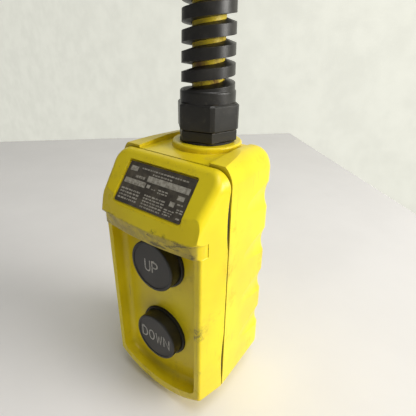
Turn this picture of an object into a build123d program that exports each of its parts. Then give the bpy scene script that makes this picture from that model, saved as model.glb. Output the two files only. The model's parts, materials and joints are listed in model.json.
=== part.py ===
"""Two-button hoist pendant: a hood-fronted yellow housing that hangs on its cord from a ceiling canopy.

Frame: +Z up, the buttons face -Y, +X is on the right seen from the front.
The origin is the middle of the canopy's rim, which lies against the ceiling or hoist that carries it.
The gland, the bend relief and the cord all stand on the Z axis.
"""

from build123d import *
from math import sqrt
import os

# ---------------------------------------------------------------- driving dimensions, mm
HANG_DROP = 325.0  # canopy's rim down to the base level, where the sides meet the bottom
PARTING_Y = -30.0  # plane where the front cover meets the back box
PARTING_GAP = 0.9  # joint between the two shells, sealed by the gasket further in

HALF_WIDTH = 37.0  # of the housing at the parting plane
SIDE_HEIGHT = 139.5  # of the front cover, above the base level
BELLY_DROP = 13.5  # how far the arched bottom hangs below the base level, at the parting plane
BELLY_RADIUS = 59.2
TOP_CORNER = 9.0
BOTTOM_CORNER = 6.0
COVER_TAPER = 10.7  # degrees that the cover's walls lean in towards the front
RIM_DEPTH = 18.5  # parting plane to the face of the rim round the buttons
HOOD_DEPTH = 24.0  # parting plane to the front edge of the hood
HOOD_CORNER = 4.5  # rounding of the hood's side edges
HOOD_BOW = 200.0  # plan radius of the hood's front
BOW_ARC = 30.0  # degrees of that circle that the hood's width takes in
PANEL_DEPTH = 10.0  # parting plane to the button panel, which is sunk behind the rim
WALL = 3.0

SHOULDER_FRONT = 1.4  # how far the back box's shoulders stand above the cover at the parting plane
SHOULDER_REAR = 4.0  # and at the rear
BACK_DEPTH_TOP = 47.5  # parting plane to the rear face at the top
BACK_DEPTH_BASE = 51.5  # and at the base
BACK_TAPER = 2.0
BOX_TOP_CORNER = 11.5
REAR_CORNER = 10.0
TOP_REAR_ROUND = 14.0
GROOVE_HEIGHTS = (115.0, 85.0, 55.0, 25.0)  # finger grooves round the rear face
GROOVE_DEPTH = 3.6
GROOVE_RADIUS = 20.0
GROOVE_SIDE = 2.2  # how far a groove cuts into the side at the rear corner

BUTTON_HEIGHTS = {"up": 82.2, "down": 31.0}
BUTTON_RADIUS = 15.0
BUTTON_TRAVEL = 5.0
COLLAR_RADIUS = 16.3
COLLAR_STANDS = 1.6  # the collar's front edge ahead of the panel

CORD_DIAMETER = 17.0
RELIEF_RADIUS = 14.4  # at the collar
RELIEF_TIP_RADIUS = 13.2
RELIEF_PITCH = 9.3
RELIEF_TURNS = 5.4
RELIEF_START = -132.0  # degrees from +X to where the spiral begins
BOSS_RADIUS = 19.5
BOSS_TOP = 142.6
GLAND_CORNER = 17.0  # half the width across the gland body's hexagon corners
NUT_CORNER = 18.0
NUT_ROUND = 17.3  # the nut's corners are turned down to this radius
NIPPLE_RADIUS = 12.0

CANOPY_SIDE = 64.0
CANOPY_HIGH = 24.0
CANOPY_BOLT_PITCH = 48.0
CANOPY_BOLT_RADIUS = 3.3

SCREW_X = 25.0
SCREW_HEIGHTS = (8.0, 126.0)

BASE_Z = -HANG_DROP
CORD_RADIUS = CORD_DIAMETER / 2
HALF_GAP = PARTING_GAP / 2
CLEAR = 0.06  # radial running clearance


def up(height):
    """The frame's Z at a height above the housing's base level."""
    return BASE_Z + height


def back(depth):
    """The frame's Y at a depth behind the parting plane; ahead of it the depth is negative."""
    return PARTING_Y + depth


def facing_front(depth):
    """A plane at a depth with its normal along -Y; sketch x runs along +X, sketch y along +Z."""
    return Plane(origin=(0, back(depth), 0), x_dir=(1, 0, 0), z_dir=(0, -1, 0))


def facing_rear(depth):
    """A plane at a depth with its normal along +Y; sketch x runs along -X, sketch y along +Z."""
    return Plane(origin=(0, back(depth), 0), x_dir=(-1, 0, 0), z_dir=(0, 1, 0))


def belly(half_width, drop):
    """Z at which the arched bottom, hanging to -drop in the middle, meets a side at half_width."""
    return up(-drop + BELLY_RADIUS - sqrt(BELLY_RADIUS**2 - half_width**2))


def housing_outline(plane, inset=0.0, top=SIDE_HEIGHT, top_corner=TOP_CORNER):
    """Front view of the housing at the parting plane: straight sides, flat top, arched bottom."""
    half, drop = HALF_WIDTH - inset, BELLY_DROP - inset
    foot = belly(half, drop)
    head = up(top - inset)
    with BuildSketch(plane) as outline:
        with BuildLine():
            ThreePointArc((-half, foot), (0, up(-drop)), (half, foot))
            Polyline((half, foot), (half, head), (-half, head), (-half, foot))
        make_face()
        corners = outline.vertices().group_by(Axis.Y)
        fillet(corners[-1], top_corner - 0.6 * inset)
        fillet(corners[0], BOTTOM_CORNER - 0.6 * inset)
    return outline.sketch


finished = {}


def keep(part, name):
    """Names a finished piece and puts it with the others."""
    part.label = name
    finished[name] = part


# ---------------------------------------------------------------- front cover
LIP_LOW = 100.4  # underside of the hood
LIP_HIGH = 108.0
LIP_END_ROUND = 9.0  # plan radius of the lip's ends
LIP_END_X, LIP_END_DEPTH = 25.2, -13.5  # axis of that rounding
LIP_LEAN = 1.4  # how far the lip's face leans back from its top to its foot
SLOPE_FOOT = (-21.7, 116.7)  # depth and height where the label's slope ends above the lip
SLOPE_HEAD = (-3.4, 139.3)
SLOPE_RISE = Vector(0, SLOPE_HEAD[0] - SLOPE_FOOT[0], SLOPE_HEAD[1] - SLOPE_FOOT[1]).normalized()
SLOPE_OUT = Vector(0, -SLOPE_RISE.Z, SLOPE_RISE.Y)
LABEL_WIDTH, LABEL_HEIGHT, LABEL_THICK = 45.0, 22.6, 0.6
LABEL_POCKET = 1.5
LABEL_SPOT = (-14.1, 126.1)  # depth and height of the label's middle, on the slope
RECESS_HALF = 29.8
RECESS_TOP = 102.2  # the recess runs up behind the lip
RECESS_DROP = 3.5
PANEL_BACK = PANEL_DEPTH - WALL
HOLLOW_TOP = 133.0  # outline whose inset bounds the hollow below the label's slope
BARREL_RADIUS = 15.8  # of the operator body that goes through the panel
STANDOFF_SPOTS = [(x, z) for x in (-SCREW_X, SCREW_X) for z in (44.0, 69.0)]
BRACKET_DEPTH = 1.0
EARTH_SPOT = (0.0, 108.0)
POST_SPOTS = [(x, z) for x in (-SCREW_X, SCREW_X) for z in SCREW_HEIGHTS]

# long dips in the cover's edge on both sides, filled by the gasket's ribs: foot, head and depth of each
SEAM_DIPS = ((97.0, 131.0, 1.3), (4.0, 42.0, 1.0))

slope_plane = Plane(
    origin=(0, back(LABEL_SPOT[0]), up(LABEL_SPOT[1])), x_dir=(1, 0, 0), z_dir=tuple(SLOPE_OUT)
)


def side_profile(points):
    """Closed face in the YZ plane through (depth, height) points."""
    with BuildSketch(Plane.YZ) as profile:
        with BuildLine():
            Polyline(*[(back(depth), up(height)) for depth, height in points], close=True)
        make_face()
    return profile.sketch


def seam_dip(foot, head, depth):
    """Side view of a dip in the cover's rear edge."""
    with BuildSketch(Plane.YZ) as dip:
        with BuildLine():
            ThreePointArc(
                (back(-HALF_GAP), up(foot)),
                (back(-HALF_GAP - depth), up((foot + head) / 2)),
                (back(-HALF_GAP), up(head)),
            )
            Line((back(-HALF_GAP), up(head)), (back(-HALF_GAP), up(foot)))
        make_face()
    return dip.sketch


def spots(places):
    """(x, height) pairs as sketch points of a plane whose sketch y is Z."""
    return [(x, up(height)) for x, height in places]


with BuildPart() as front_cover:
    extrude(housing_outline(facing_front(-HALF_GAP)), amount=HOOD_DEPTH - HALF_GAP, taper=COVER_TAPER)
    # side view: rim face, hood lip, nose and the slope that carries the label
    outer_points = [
        (0, -30),
        (-RIM_DEPTH, -30),
        (-RIM_DEPTH, LIP_LOW),
        (-HOOD_DEPTH + LIP_LEAN, LIP_LOW),
        (-HOOD_DEPTH, LIP_HIGH),
        SLOPE_FOOT,
        SLOPE_HEAD,
        (0, SIDE_HEIGHT + 2),
    ]
    extrude(side_profile(outer_points), amount=60, both=True, mode=Mode.INTERSECT)
    # the hood's side corners, then the rim's outer edge
    hood_sides = front_cover.edges().filter_by(
        lambda e: abs(e.center().X) > 32 and up(LIP_LOW) < e.center().Z < up(131) and e.center().Y < back(-12)
    )
    fillet(hood_sides, HOOD_CORNER)
    rim_edge = front_cover.edges().filter_by(
        lambda e: abs(e.center().Y - back(-RIM_DEPTH)) < 0.1 and e.center().Z < up(LIP_LOW - 5)
    )
    fillet(rim_edge, 1.6)
    # the hood's front is bowed: everything ahead of the turned profile goes
    ahead = [
        (-HOOD_DEPTH + LIP_LEAN, LIP_LOW - 0.5),
        (-HOOD_DEPTH, LIP_HIGH),
        SLOPE_FOOT,
        (SLOPE_FOOT[0] + 2.4, SLOPE_FOOT[1] + 9),
        (-HOOD_DEPTH - 9, SLOPE_FOOT[1] + 9),
        (-HOOD_DEPTH - 9, LIP_LOW - 0.5),
    ]
    bow_axis = Axis((0, back(HOOD_BOW - HOOD_DEPTH), 0), (0, 0, 1))
    first_side = side_profile(ahead).rotate(bow_axis, -BOW_ARC / 2)
    revolve(first_side, axis=bow_axis, revolution_arc=BOW_ARC, mode=Mode.SUBTRACT)

    # the lip's ends turn back to the sides in a wide curve that runs out above and below
    for side in (-1, 1):
        for level, rise, lean in ((LIP_LOW, 7.0, 0), (LIP_LOW, -4.0, 40), (LIP_LOW + 7.0, 9.0, 32)):
            with BuildSketch(Plane.XY.offset(up(level))):
                with BuildLine():
                    end_x, end_y = side * (LIP_END_X + LIP_END_ROUND), back(LIP_END_DEPTH)
                    front_y = back(LIP_END_DEPTH - LIP_END_ROUND)
                    bend = 0.7071 * LIP_END_ROUND
                    ThreePointArc(
                        (end_x, end_y),
                        (side * (LIP_END_X + bend), end_y - bend),
                        (side * LIP_END_X, front_y),
                    )
                    Polyline(
                        (side * LIP_END_X, front_y),
                        (side * LIP_END_X, end_y - 25),
                        (side * 60, end_y - 25),
                        (side * 60, end_y),
                        (end_x, end_y),
                    )
                make_face()
            extrude(amount=rise, taper=lean, mode=Mode.SUBTRACT)

    for foot, head, depth in SEAM_DIPS:
        for side in (-1, 1):
            dip = seam_dip(foot, head, depth).moved(Location((side * HALF_WIDTH, 0, 0)))
            extrude(dip, amount=2.2, both=True, mode=Mode.SUBTRACT)

    # recess round the buttons, with the panel at its floor
    half, foot = RECESS_HALF, belly(RECESS_HALF, RECESS_DROP)
    with BuildSketch(facing_rear(-RIM_DEPTH)) as mouth:
        with BuildLine():
            ThreePointArc((-half, foot), (0, up(-RECESS_DROP)), (half, foot))
            Polyline((half, foot), (half, up(RECESS_TOP)), (-half, up(RECESS_TOP)), (-half, foot))
        make_face()
        fillet(mouth.vertices().group_by(Axis.Y)[-1], 6.5)
        fillet(mouth.vertices().group_by(Axis.Y)[0], 6.0)
    extrude(amount=RIM_DEPTH - PANEL_DEPTH, mode=Mode.SUBTRACT)
    floor_edges = front_cover.edges().filter_by(
        lambda e: abs(e.center().Y - back(-PANEL_DEPTH)) < 0.1 and e.center().Z < up(RECESS_TOP + 1)
    )
    fillet(floor_edges, 3.6)

    # pocket that frames the label, open towards the lip
    with BuildSketch(slope_plane):
        with Locations((0, -0.6)):
            RectangleRounded(LABEL_WIDTH + 1.6, LABEL_HEIGHT + 2.8, 1.2)
    extrude(amount=-LABEL_POCKET, mode=Mode.SUBTRACT)

    # hollow behind the panel and inside the hood
    extrude(
        housing_outline(facing_front(0), inset=WALL, top=HOLLOW_TOP),
        amount=PANEL_BACK,
        taper=COVER_TAPER,
        mode=Mode.SUBTRACT,
    )
    hood_hollow = [(1, 135.5), (-0.8, 135.5), (-17.6, 114.5), (-20.0, 108.0), (-20.0, 105.0), (1, 105.0)]
    extrude(side_profile(hood_hollow), amount=26.0, both=True, mode=Mode.SUBTRACT)

    # posts for the screws that hold the shells together, and standoffs for the bracket
    with BuildSketch(facing_front(-HALF_GAP)):
        with Locations(*spots(POST_SPOTS)):
            Circle(4.6)
    extrude(amount=PANEL_BACK + 0.5)
    with BuildSketch(facing_front(BRACKET_DEPTH)):
        with Locations(*spots(STANDOFF_SPOTS)):
            Circle(3.4)
    extrude(amount=PANEL_BACK + BRACKET_DEPTH + 0.5)
    with BuildSketch(facing_front(-HALF_GAP)):
        with Locations(*spots(POST_SPOTS)):
            Circle(2.8)
    extrude(amount=5.6, mode=Mode.SUBTRACT)
    with BuildSketch(facing_front(BRACKET_DEPTH)):
        with Locations(*spots(STANDOFF_SPOTS)):
            Circle(1.5)
    extrude(amount=6.5, mode=Mode.SUBTRACT)

    # holes that the operator bodies go through
    with BuildSketch(facing_front(0)):
        with Locations(*spots([(0, height) for height in BUTTON_HEIGHTS.values()])):
            Circle(BARREL_RADIUS + CLEAR)
    extrude(amount=PANEL_DEPTH + 5, mode=Mode.SUBTRACT)

keep(front_cover.part, "front_cover")

# ---------------------------------------------------------------- back box
BOX_TOP = SIDE_HEIGHT + SHOULDER_REAR
BOX_HOLLOW = 40.0
PLATFORM_HALF = 23.5
GROOVE_SWEEP = GROOVE_RADIUS - GROOVE_DEPTH  # from the rear face out to the groove cutter's middle
HEAD_SEAT = 37.0  # depth of the shoulder that a screw head pulls against


def rear_depth(height):
    """Depth of the slightly slanted rear face at a height."""
    return BACK_DEPTH_BASE + (BACK_DEPTH_TOP - BACK_DEPTH_BASE) * height / BOX_TOP


with BuildPart() as box_hollow:
    extrude(
        housing_outline(facing_rear(0), inset=WALL, top_corner=BOX_TOP_CORNER - 1),
        amount=BOX_HOLLOW,
        taper=BACK_TAPER,
    )
    fillet(box_hollow.faces().sort_by(Axis.Y)[-1].edges(), 7.0)

with BuildPart() as back_box:
    extrude(
        housing_outline(facing_rear(HALF_GAP), top=BOX_TOP, top_corner=BOX_TOP_CORNER),
        amount=BACK_DEPTH_BASE + 2,
        taper=BACK_TAPER,
    )
    # side view: slanted rear face under a large rounded edge
    turn = (BACK_DEPTH_TOP - TOP_REAR_ROUND, BOX_TOP - TOP_REAR_ROUND)
    with BuildSketch(Plane.YZ):
        with BuildLine():
            Line((back(0), up(SIDE_HEIGHT + SHOULDER_FRONT)), (back(turn[0]), up(BOX_TOP)))
            CenterArc((back(turn[0]), up(turn[1])), TOP_REAR_ROUND, 0, 90)
            Polyline(
                (back(BACK_DEPTH_TOP), up(turn[1])),
                (back(BACK_DEPTH_BASE), up(-4)),
                (back(BACK_DEPTH_BASE - 12), up(-16)),
                (back(0), up(-16)),
                (back(0), up(SIDE_HEIGHT + SHOULDER_FRONT)),
            )
        make_face()
    extrude(amount=60, both=True, mode=Mode.INTERSECT)
    rear_sides = back_box.edges().filter_by(lambda e: e.center().Y > back(40) and abs(e.center().X) > 33)
    fillet(rear_sides, REAR_CORNER)

    # finger grooves that run across the rear and fade out round its corners
    for height in GROOVE_HEIGHTS:
        reach = rear_depth(height) + GROOVE_SWEEP
        bend = REAR_CORNER + GROOVE_SWEEP
        side = HALF_WIDTH - GROOVE_SIDE + GROOVE_SWEEP
        with BuildLine(Plane.XY.offset(up(height))) as groove_path:
            FilletPolyline(
                (side + 6.8, back(4)), (side, back(reach)), (-side, back(reach)), (-side - 6.8, back(4)),
                radius=bend,
            )
        with BuildSketch(Plane(origin=groove_path.line @ 0, z_dir=groove_path.line % 0)) as groove_round:
            Circle(GROOVE_RADIUS)
        sweep(groove_round.sketch, path=groove_path.line, mode=Mode.SUBTRACT)

    # sunk platform between the shoulders, with the gland's boss standing in it
    with BuildSketch(Plane.XY.offset(up(SIDE_HEIGHT))):
        with Locations((0, back(30))):
            Rectangle(2 * PLATFORM_HALF, 70)
    extrude(amount=10, mode=Mode.SUBTRACT)
    with BuildSketch(Plane.XY.offset(up(SIDE_HEIGHT - 18))):
        Circle(BOSS_RADIUS)
        with Locations((0, back(BACK_DEPTH_TOP + 20))):
            Rectangle(80, 40, mode=Mode.SUBTRACT)
    extrude(amount=BOSS_TOP - SIDE_HEIGHT + 18)

    add(box_hollow.part, mode=Mode.SUBTRACT)

    # screw posts with counterbored holes from the rear
    with BuildSketch(facing_rear(HALF_GAP)):
        with Locations(*spots(POST_SPOTS)):
            Circle(5.4)
    extrude(amount=BOX_HOLLOW)
    with BuildSketch(facing_rear(0)):
        with Locations(*spots(POST_SPOTS)):
            Circle(2.2)
    extrude(amount=60, mode=Mode.SUBTRACT)
    with BuildSketch(facing_rear(HEAD_SEAT)):
        with Locations(*spots(POST_SPOTS)):
            Circle(4.2)
    extrude(amount=30, mode=Mode.SUBTRACT)

    # threaded hole for the gland's nipple, and the earth screw's pad inside
    with BuildSketch(Plane.XY.offset(up(SIDE_HEIGHT - 9.5))):
        Circle(NIPPLE_RADIUS + CLEAR)
    extrude(amount=40, mode=Mode.SUBTRACT)
    with BuildSketch(facing_rear(BOX_HOLLOW - 4)):
        with Locations(*spots([EARTH_SPOT])):
            Circle(5.0)
    extrude(amount=5)
    with BuildSketch(facing_rear(BOX_HOLLOW - 4)):
        with Locations(*spots([EARTH_SPOT])):
            Circle(2.0 + CLEAR)
    extrude(amount=6, mode=Mode.SUBTRACT)
    boss_rim = back_box.edges().filter_by(GeomType.CIRCLE).filter_by(
        lambda e: abs(e.center().Z - up(BOSS_TOP)) < 0.1 and e.radius > BOSS_RADIUS - 1
    )
    fillet(boss_rim, 1.2)

keep(back_box.part, "back_box")

# ---------------------------------------------------------------- seal, label and shell screws
with BuildPart() as cover_gasket:
    extrude(housing_outline(facing_front(-HALF_GAP), inset=0.8), amount=-PARTING_GAP)
    extrude(
        housing_outline(facing_front(-HALF_GAP), inset=WALL - 0.2), amount=-PARTING_GAP, mode=Mode.SUBTRACT
    )
    for foot, head, depth in SEAM_DIPS:
        for side in (-1, 1):
            rib = seam_dip(foot + 1.5, head - 1.5, depth - 0.12)
            extrude(rib.moved(Location((side * (HALF_WIDTH - 1.5), 0, 0))), amount=0.65, both=True)
keep(cover_gasket.part, "cover_gasket")

with BuildPart() as label_plate:
    with BuildSketch(slope_plane.offset(-LABEL_POCKET)):
        RectangleRounded(LABEL_WIDTH, LABEL_HEIGHT, 0.8)
    extrude(amount=LABEL_THICK)
keep(label_plate.part, "label_plate")

with BuildPart() as cover_inserts:
    with BuildSketch(facing_front(-HALF_GAP - 0.1)):
        with Locations(*spots(POST_SPOTS)):
            Circle(2.8)
            Circle(2.05, mode=Mode.SUBTRACT)
    extrude(amount=5.4)
keep(cover_inserts.part, "cover_inserts")

with BuildPart() as cover_screws:
    with BuildSketch(facing_front(HEAD_SEAT)):
        with Locations(*spots(POST_SPOTS)):
            Circle(2.0)
    extrude(amount=HEAD_SEAT + 5.0)
    with BuildSketch(facing_rear(HEAD_SEAT)):
        with Locations(*spots(POST_SPOTS)):
            Circle(3.8)
    extrude(amount=2.8)
    fillet(cover_screws.faces().group_by(Axis.Y)[-1].edges(), 0.8)
    with BuildSketch(facing_front(HEAD_SEAT + 2.8)):
        with Locations(*spots(POST_SPOTS)):
            SlotOverall(4.4, 0.9)
            SlotOverall(4.4, 0.9, rotation=90)
    extrude(amount=1.6, mode=Mode.SUBTRACT)
keep(cover_screws.part, "cover_screws")


# ---------------------------------------------------------------- cord glands
WASHER_THICK = 1.0
BODY_HIGH = 6.2  # hexagon of the gland body
NUT_HIGH = 13.2
SPIGOT_RADIUS = NUT_ROUND - 3.2  # of the thread that the cap nut turns on
GROMMET_RADIUS = 11.4
HEX_TURN = 15.0  # degrees from +X to a corner of the hexagons


def gland_parts(seat, sense, nipple_end):
    """A cord gland on the Z axis; its washer rests on seat, and sense is +1 for a cord that leaves upwards.

    Returns its washer, body, grommet and cap nut. The nipple reaches nipple_end past the seat.
    """

    def at(distance):
        return Plane(origin=(0, 0, seat + sense * distance), z_dir=(0, 0, sense))

    head = WASHER_THICK + BODY_HIGH
    with BuildPart() as washer:
        with BuildSketch(at(0)):
            Circle(GLAND_CORNER - 1.8)
            Circle(NIPPLE_RADIUS + 0.02, mode=Mode.SUBTRACT)
        extrude(amount=WASHER_THICK)
    with BuildPart() as body:
        with BuildSketch(at(WASHER_THICK)):
            RegularPolygon(GLAND_CORNER, 6, rotation=sense * HEX_TURN)
        extrude(amount=BODY_HIGH)
        chamfer(body.edges().filter_by(GeomType.LINE).filter_by(Plane.XY), 0.6)
        with BuildSketch(at(WASHER_THICK)):
            Circle(NIPPLE_RADIUS)
        extrude(amount=-(WASHER_THICK + nipple_end))
        with BuildSketch(at(head)):
            Circle(SPIGOT_RADIUS)
        extrude(amount=5.5)
        with BuildSketch(at(-nipple_end)):
            Circle(CORD_RADIUS + 0.2)
        extrude(amount=40, mode=Mode.SUBTRACT)
        with BuildSketch(at(head + 0.5)):
            Circle(GROMMET_RADIUS + CLEAR)
        extrude(amount=10, mode=Mode.SUBTRACT)
    with BuildPart() as grommet:
        with BuildSketch(at(head + 0.5)):
            Circle(GROMMET_RADIUS)
            Circle(CORD_RADIUS + 0.05, mode=Mode.SUBTRACT)
        extrude(amount=8.0)
    with BuildPart() as nut:
        with BuildSketch(at(head + 0.2)):
            RegularPolygon(NUT_CORNER, 6, rotation=sense * HEX_TURN)
            Circle(NUT_ROUND, mode=Mode.INTERSECT)
        extrude(amount=NUT_HIGH)
        chamfer(nut.faces().sort_by(Axis.Z)[-1 if sense > 0 else 0].edges(), 0.9)
        with BuildSketch(at(head + 0.2)):
            Circle(SPIGOT_RADIUS + CLEAR)
        extrude(amount=5.6, mode=Mode.SUBTRACT)
        with BuildSketch(at(head + 0.2)):
            Circle(GROMMET_RADIUS + CLEAR)
        extrude(amount=8.6, mode=Mode.SUBTRACT)
        with BuildSketch(at(head)):
            Circle(CORD_RADIUS + 0.4)
        extrude(amount=NUT_HIGH + 1, mode=Mode.SUBTRACT)
    return {"washer": washer.part, "body": body.part, "grommet": grommet.part, "nut": nut.part}


GLAND_HIGH = WASHER_THICK + BODY_HIGH + 0.2 + NUT_HIGH  # seat to the cap nut's outer face
NIPPLE_END = 10.6
for kind, piece in gland_parts(up(BOSS_TOP), 1, NIPPLE_END).items():
    keep(piece, f"gland_{kind}")
for kind, piece in gland_parts(-CANOPY_HIGH, -1, WALL + 6.0).items():
    keep(piece, f"canopy_gland_{kind}")

# ---------------------------------------------------------------- bend relief: a collar and an open spiral
COLLAR_HIGH = 6.5
RELIEF_ROOT = CORD_RADIUS + 0.3
relief_foot = up(BOSS_TOP) + GLAND_HIGH
relief_top = relief_foot + COLLAR_HIGH
spiral_foot = relief_foot + 3.3

with BuildPart() as spiral:
    with BuildLine():
        turns = Helix(RELIEF_PITCH, RELIEF_TURNS * RELIEF_PITCH, RELIEF_ROOT, center=(0, 0, spiral_foot))
    with BuildSketch(Plane(origin=(0, 0, spiral_foot), x_dir=(1, 0, 0), z_dir=(0, -1, 0))) as strip:
        with BuildLine():
            Polyline(
                (RELIEF_ROOT - 1.0, -3.6),
                (RELIEF_RADIUS + 0.4, -2.9),
                (RELIEF_RADIUS + 0.4, 2.0),
                (RELIEF_ROOT - 1.0, 4.1),
                close=True,
            )
        make_face()
    sweep(strip.sketch, path=turns, is_frenet=True)
    with Locations((0, 0, spiral_foot - 5)):
        Cone(
            RELIEF_RADIUS, RELIEF_TIP_RADIUS, RELIEF_TURNS * RELIEF_PITCH + 10,
            align=(Align.CENTER, Align.CENTER, Align.MIN), mode=Mode.INTERSECT,
        )

with BuildPart() as bend_relief:
    with BuildSketch(Plane.XY.offset(relief_foot)):
        Circle(RELIEF_RADIUS + 0.5)
    extrude(amount=COLLAR_HIGH)
    fillet(bend_relief.edges().group_by(Axis.Z)[-1], 1.4)
    add(spiral.part.rotate(Axis.Z, RELIEF_START))
    with BuildSketch(Plane.XY.offset(relief_foot - 5)):
        Circle(RELIEF_ROOT)
    extrude(amount=80, mode=Mode.SUBTRACT)
    with BuildSketch(Plane.XY.offset(relief_foot)):
        Circle(20)
    extrude(amount=-10, mode=Mode.SUBTRACT)
keep(bend_relief.part, "bend_relief")

# ---------------------------------------------------------------- cord: in the gland, free, in the canopy
CORE_CIRCLE = 4.25  # from the cord's axis to the middle of a core
WIRE_RADIUS = 1.2
ENTRY_FOOT = up(124.0)
canopy_nut_face = -CANOPY_HIGH - GLAND_HIGH
CORD_END = -12.0

for name, foot, head in (
    ("cord_entry", ENTRY_FOOT, relief_top),
    ("cord", relief_top, canopy_nut_face),
    ("canopy_cord_end", canopy_nut_face, CORD_END),
):
    with BuildPart() as jacket:
        with BuildSketch(Plane.XY.offset(foot)):
            Circle(CORD_RADIUS)
        extrude(amount=head - foot)
    keep(jacket.part, name)

# ---------------------------------------------------------------- canopy at the cord's upper end
CANOPY_FLOOR = -CANOPY_HIGH + WALL
with BuildPart() as canopy:
    with BuildSketch(Plane.XY.offset(-CANOPY_HIGH)):
        RectangleRounded(CANOPY_SIDE, CANOPY_SIDE, 9)
    extrude(amount=CANOPY_HIGH)
    fillet(canopy.faces().sort_by(Axis.Z)[0].edges(), 2.5)
    with BuildSketch(Plane.XY.offset(CANOPY_FLOOR)):
        RectangleRounded(CANOPY_SIDE - 2 * WALL, CANOPY_SIDE - 2 * WALL, 6)
        with GridLocations(CANOPY_BOLT_PITCH, CANOPY_BOLT_PITCH, 2, 2):
            Circle(5.6, mode=Mode.SUBTRACT)
    extrude(amount=CANOPY_HIGH, mode=Mode.SUBTRACT)
    with BuildSketch(Plane.XY.offset(-CANOPY_HIGH)):
        Circle(NIPPLE_RADIUS + CLEAR)
        with GridLocations(CANOPY_BOLT_PITCH, CANOPY_BOLT_PITCH, 2, 2):
            Circle(CANOPY_BOLT_RADIUS)
    extrude(amount=CANOPY_HIGH, mode=Mode.SUBTRACT)
keep(canopy.part, "canopy")

with BuildPart() as canopy_locknut:
    with BuildSketch(Plane.XY.offset(CANOPY_FLOOR)):
        RegularPolygon(GLAND_CORNER, 6, rotation=HEX_TURN)
        Circle(NIPPLE_RADIUS + 0.05, mode=Mode.SUBTRACT)
    extrude(amount=4.0)
keep(canopy_locknut.part, "canopy_locknut")

STRIP_Y = 23.5  # middle of the terminal strip
STRIP_TOP = -13.0
STRIP_POLES = {"common": -7.5, "up": -2.5, "down": 2.5, "earth": 7.5}
with BuildPart() as terminal_strip:
    with BuildSketch(Plane.XY.offset(CANOPY_FLOOR)):
        with Locations((0, STRIP_Y)):
            RectangleRounded(26, 8, 1)
    extrude(amount=STRIP_TOP - CANOPY_FLOOR)
keep(terminal_strip.part, "canopy_terminal_strip")

# the cores leave the jacket a quarter turn apart; the two further from the strip pass over the other two
CANOPY_CORES = {"common": (-3.0, -3.0), "up": (-3.0, 3.0), "down": (3.0, 3.0), "earth": (3.0, -3.0)}
for wire, (core_x, core_y) in CANOPY_CORES.items():
    level = -3.6 if core_y < 0 else -7.4
    with BuildPart() as tail:
        with BuildLine() as route:
            FilletPolyline(
                (core_x, core_y, CORD_END),
                (core_x, core_y, level),
                (STRIP_POLES[wire], STRIP_Y, level),
                (STRIP_POLES[wire], STRIP_Y, STRIP_TOP),
                radius=2.8,
            )
        with BuildSketch(Plane(origin=route.line @ 0, z_dir=route.line % 0)):
            Circle(WIRE_RADIUS)
        sweep()
    keep(tail.part, f"canopy_wire_{wire}")

# ---------------------------------------------------------------- push buttons and their contact blocks
FACE_DEPTH = 18.5  # parting plane to the button's face
CAP_BACK = 15.0
SKIRT_END = 10.5
DISC_RADIUS = 13.1
DISC_THICK = 0.9
DISC_SINK = 0.3  # the legend disc lies this far behind the cap's rim
CUP_RADIUS = BUTTON_RADIUS + 0.3  # inside of the operator body
CUP_FRONT = PANEL_DEPTH + COLLAR_STANDS
CUP_FLOOR = 2.5
STEM_RADIUS = 4.0
SPRING_RADIUS = 8.5
SPRING_WIRE = 0.5
BRIDGE_DEPTH = 9.0
BLOCK_FRONT = BRACKET_DEPTH + 1.5
BLOCK_REAR = 22.0
BLOCK_HALF = 15.0
WINDOW_HALF = 13.0
WINDOW = (6.0, 19.5)  # depths of the window that the bridge moves in
LEDGE_REAR = 16.2
CONTACT_X = 9.0
TERMINAL_X = 18.5
EAR_X, EAR_Z = 18.5, 9.0
LUG_REACH = 8.0  # screw to the end of a ring terminal's barrel


def rings(near, far, outer, inner, places):
    """Rings between two depths at (x, height) places; inner is 0 for discs."""
    with BuildPart() as made:
        with BuildSketch(facing_front(near)):
            with Locations(*spots(places)):
                Circle(outer)
                if inner:
                    Circle(inner, mode=Mode.SUBTRACT)
        extrude(amount=near - far)
    return made.part


def slabs(near, far, wide, high, places):
    """Blocks between two depths, centred on (x, height) places."""
    with BuildPart() as made:
        with BuildSketch(facing_front(near)):
            with Locations(*spots(places)):
                Rectangle(wide, high)
        extrude(amount=near - far)
    return made.part


def lug(near, x, height, sense):
    """Ring terminal under a screw head; its crimped barrel points up for a sense of +1, down for -1."""
    neck = height + sense * 3.6
    with BuildPart() as made:
        add(rings(near, near + 0.6, 2.9, 0, [(x, height)]))
        add(slabs(near, near + 0.6, 2.4, 3.0, [(x, neck)]))
        add(rings(near, near + 0.6, 1.4, 0, [(x, height)]), mode=Mode.SUBTRACT)
        with BuildSketch(Plane(origin=(x, back(near + 1.1), up(neck)), z_dir=(0, 0, sense))):
            Circle(1.7)
        extrude(amount=LUG_REACH - 3.6)
    return made.part


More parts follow.
